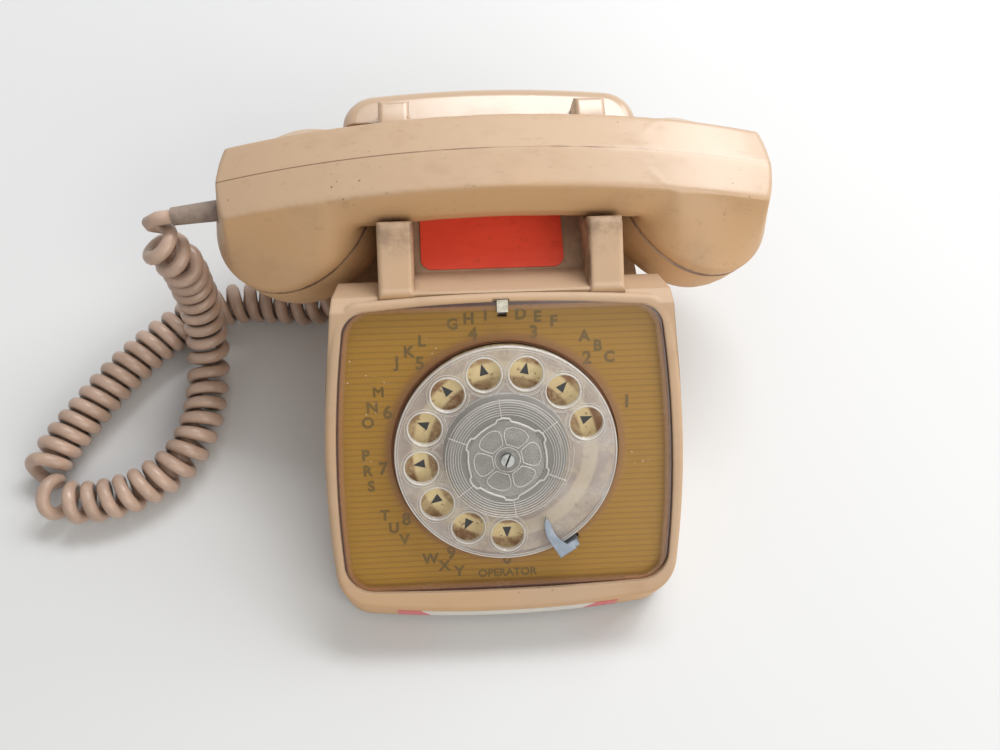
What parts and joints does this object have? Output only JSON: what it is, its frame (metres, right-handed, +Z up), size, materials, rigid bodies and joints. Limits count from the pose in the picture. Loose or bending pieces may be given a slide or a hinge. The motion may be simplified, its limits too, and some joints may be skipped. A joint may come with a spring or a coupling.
{
  "type": "rotary dial telephone",
  "caption": "Compact desk telephone with a clear rotary dial in a sloped amber face and a handset lying in a raised cradle, joined by a curly cord.",
  "frame": {"origin": "on the table, under the middle of the telephone", "axes": "+Z up, the dial faces -Y and up, the handset lies along X"},
  "size_m": [0.3247, 0.2102, 0.1196],
  "materials": {
    "shell_plastic": "aged beige moulding, low gloss",
    "amber_plastic": "clear amber",
    "ribbed_card": "fine ribs",
    "steel": "plain",
    "plated_steel": "zinc plated",
    "number_plate_paint": "cream paint",
    "arrow_black": "printed black",
    "clear_plastic": "clear",
    "brass": "plain",
    "white_nylon": "moulded",
    "insulator": "brown moulding",
    "coil_wire": "enamelled winding",
    "rubber": "matt",
    "sticker": "satin sticker",
    "red_card": "satin card",
    "capsule": "spun",
    "cord_plastic": "satin vinyl",
    "lead_plastic": "insulated lead"
  },
  "bodies": {
    "base": {"base_plate": "plated_steel", "base_relief": "cord_plastic", "base_screws": "plated_steel", "clapper_pin": "steel", "dial_bracket": "plated_steel", "dial_bridge": "plated_steel", "dial_frame": "plated_steel", "dial_screws": "plated_steel", "faceplate": "amber_plastic", "faceplate_card": "ribbed_card", "finger_stop": "steel", "front_label": "sticker", "gong_left": "brass", "gong_right": "brass", "gong_screws": "plated_steel", "governor_cup": "steel", "handset_cord": "cord_plastic", "hook_bracket": "plated_steel", "hook_bracket_screws": "plated_steel", "hook_contacts": "insulator", "hook_pin": "steel", "hook_spring": "steel", "housing": "shell_plastic", "internal_leads": "lead_plastic", "line_inlet": "rubber", "mainspring": "steel", "network_block": "insulator", "network_terminals": "brass", "number_arrows": "arrow_black", "number_card": "red_card", "number_plate": "number_plate_paint", "pulse_contacts": "insulator", "ringer_coil": "coil_wire", "ringer_frame": "plated_steel", "ringer_poles": "steel", "rubber_feet": "rubber"},
    "dial": {"finger_wheel": "clear_plastic", "centre_rosette": "steel", "centre_cap": "clear_plastic", "centre_screw": "plated_steel", "dial_shaft": "steel", "main_gear": "brass"},
    "intermediate": {"intermediate_gear": "brass", "pulse_cam": "white_nylon"},
    "governor": {"governor_shaft": "brass", "governor_weights": "brass"},
    "latch": {"faceplate_latch": "steel"},
    "handset": {"handset_shell": "shell_plastic", "transmitter_cap": "shell_plastic", "receiver_cap": "shell_plastic", "transmitter_unit": "capsule", "receiver_unit": "capsule", "contact_cup": "insulator", "handset_relief": "cord_plastic"},
    "plungers": {"plunger_left": "shell_plastic", "plunger_right": "shell_plastic"},
    "hook": {"hook_lever": "steel"},
    "striker": {"clapper": "steel"},
    "loudness": {"volume_wheel": "white_nylon"}
  },
  "joints": [
    {"name": "dial_turn", "type": "hinge", "parent": "base", "child": "dial", "pos_m": [0, -0.0487, 0.0607], "axis": [0, -0.5736, 0.8192], "range_deg": [-313, 0], "stiffness_Nm_per_rad": 0.012, "springref_deg": 34.38},
    {"name": "intermediate_turn", "type": "hinge", "parent": "base", "child": "intermediate", "pos_m": [0.01312, -0.06732, 0.04766], "axis": [0, -0.5736, 0.8192], "range_deg": [0, 2040]},
    {"name": "governor_turn", "type": "hinge", "parent": "base", "child": "governor", "pos_m": [0.0242, -0.0594, 0.05321], "axis": [0, -0.5736, 0.8192], "range_deg": [-6520, 0]},
    {"name": "latch_slide", "type": "slide", "parent": "base", "child": "latch", "axis": [0, 0.8192, 0.5736], "range_m": [-0.0024, 0]},
    {"name": "handset_lift", "type": "slide", "parent": "base", "child": "handset", "axis": [0, 0, 1], "range_m": [0, 0.1], "deforming": ["handset_cord"]},
    {"name": "plunger_rise", "type": "slide", "parent": "base", "child": "plungers", "axis": [0, 0, 1], "range_m": [0, 0.005]},
    {"name": "hook_turn", "type": "hinge", "parent": "base", "child": "hook", "pos_m": [0, 0.033, 0.0772], "axis": [1, 0, 0], "range_deg": [0, 11.5], "deforming": ["hook_spring"]},
    {"name": "clapper_swing", "type": "hinge", "parent": "base", "child": "striker", "pos_m": [0, 0.031, 0.0265], "axis": [0, 0, 1], "range_deg": [-4.6, 4.6]},
    {"name": "loudness_turn", "type": "hinge", "parent": "base", "child": "loudness", "pos_m": [0.052, 0.018, 0.01], "axis": [1, 0, 0], "range_deg": [0, 90]}
  ],
  "couplings": [
    {"joint": "intermediate_turn", "follows": "dial_turn", "ratio": -6.5},
    {"joint": "governor_turn", "follows": "dial_turn", "ratio": 20.8},
    {"joint": "plunger_rise", "follows": "handset_lift", "ratio": 0.05},
    {"joint": "hook_turn", "follows": "handset_lift", "rad_per_m": 2}
  ]
}
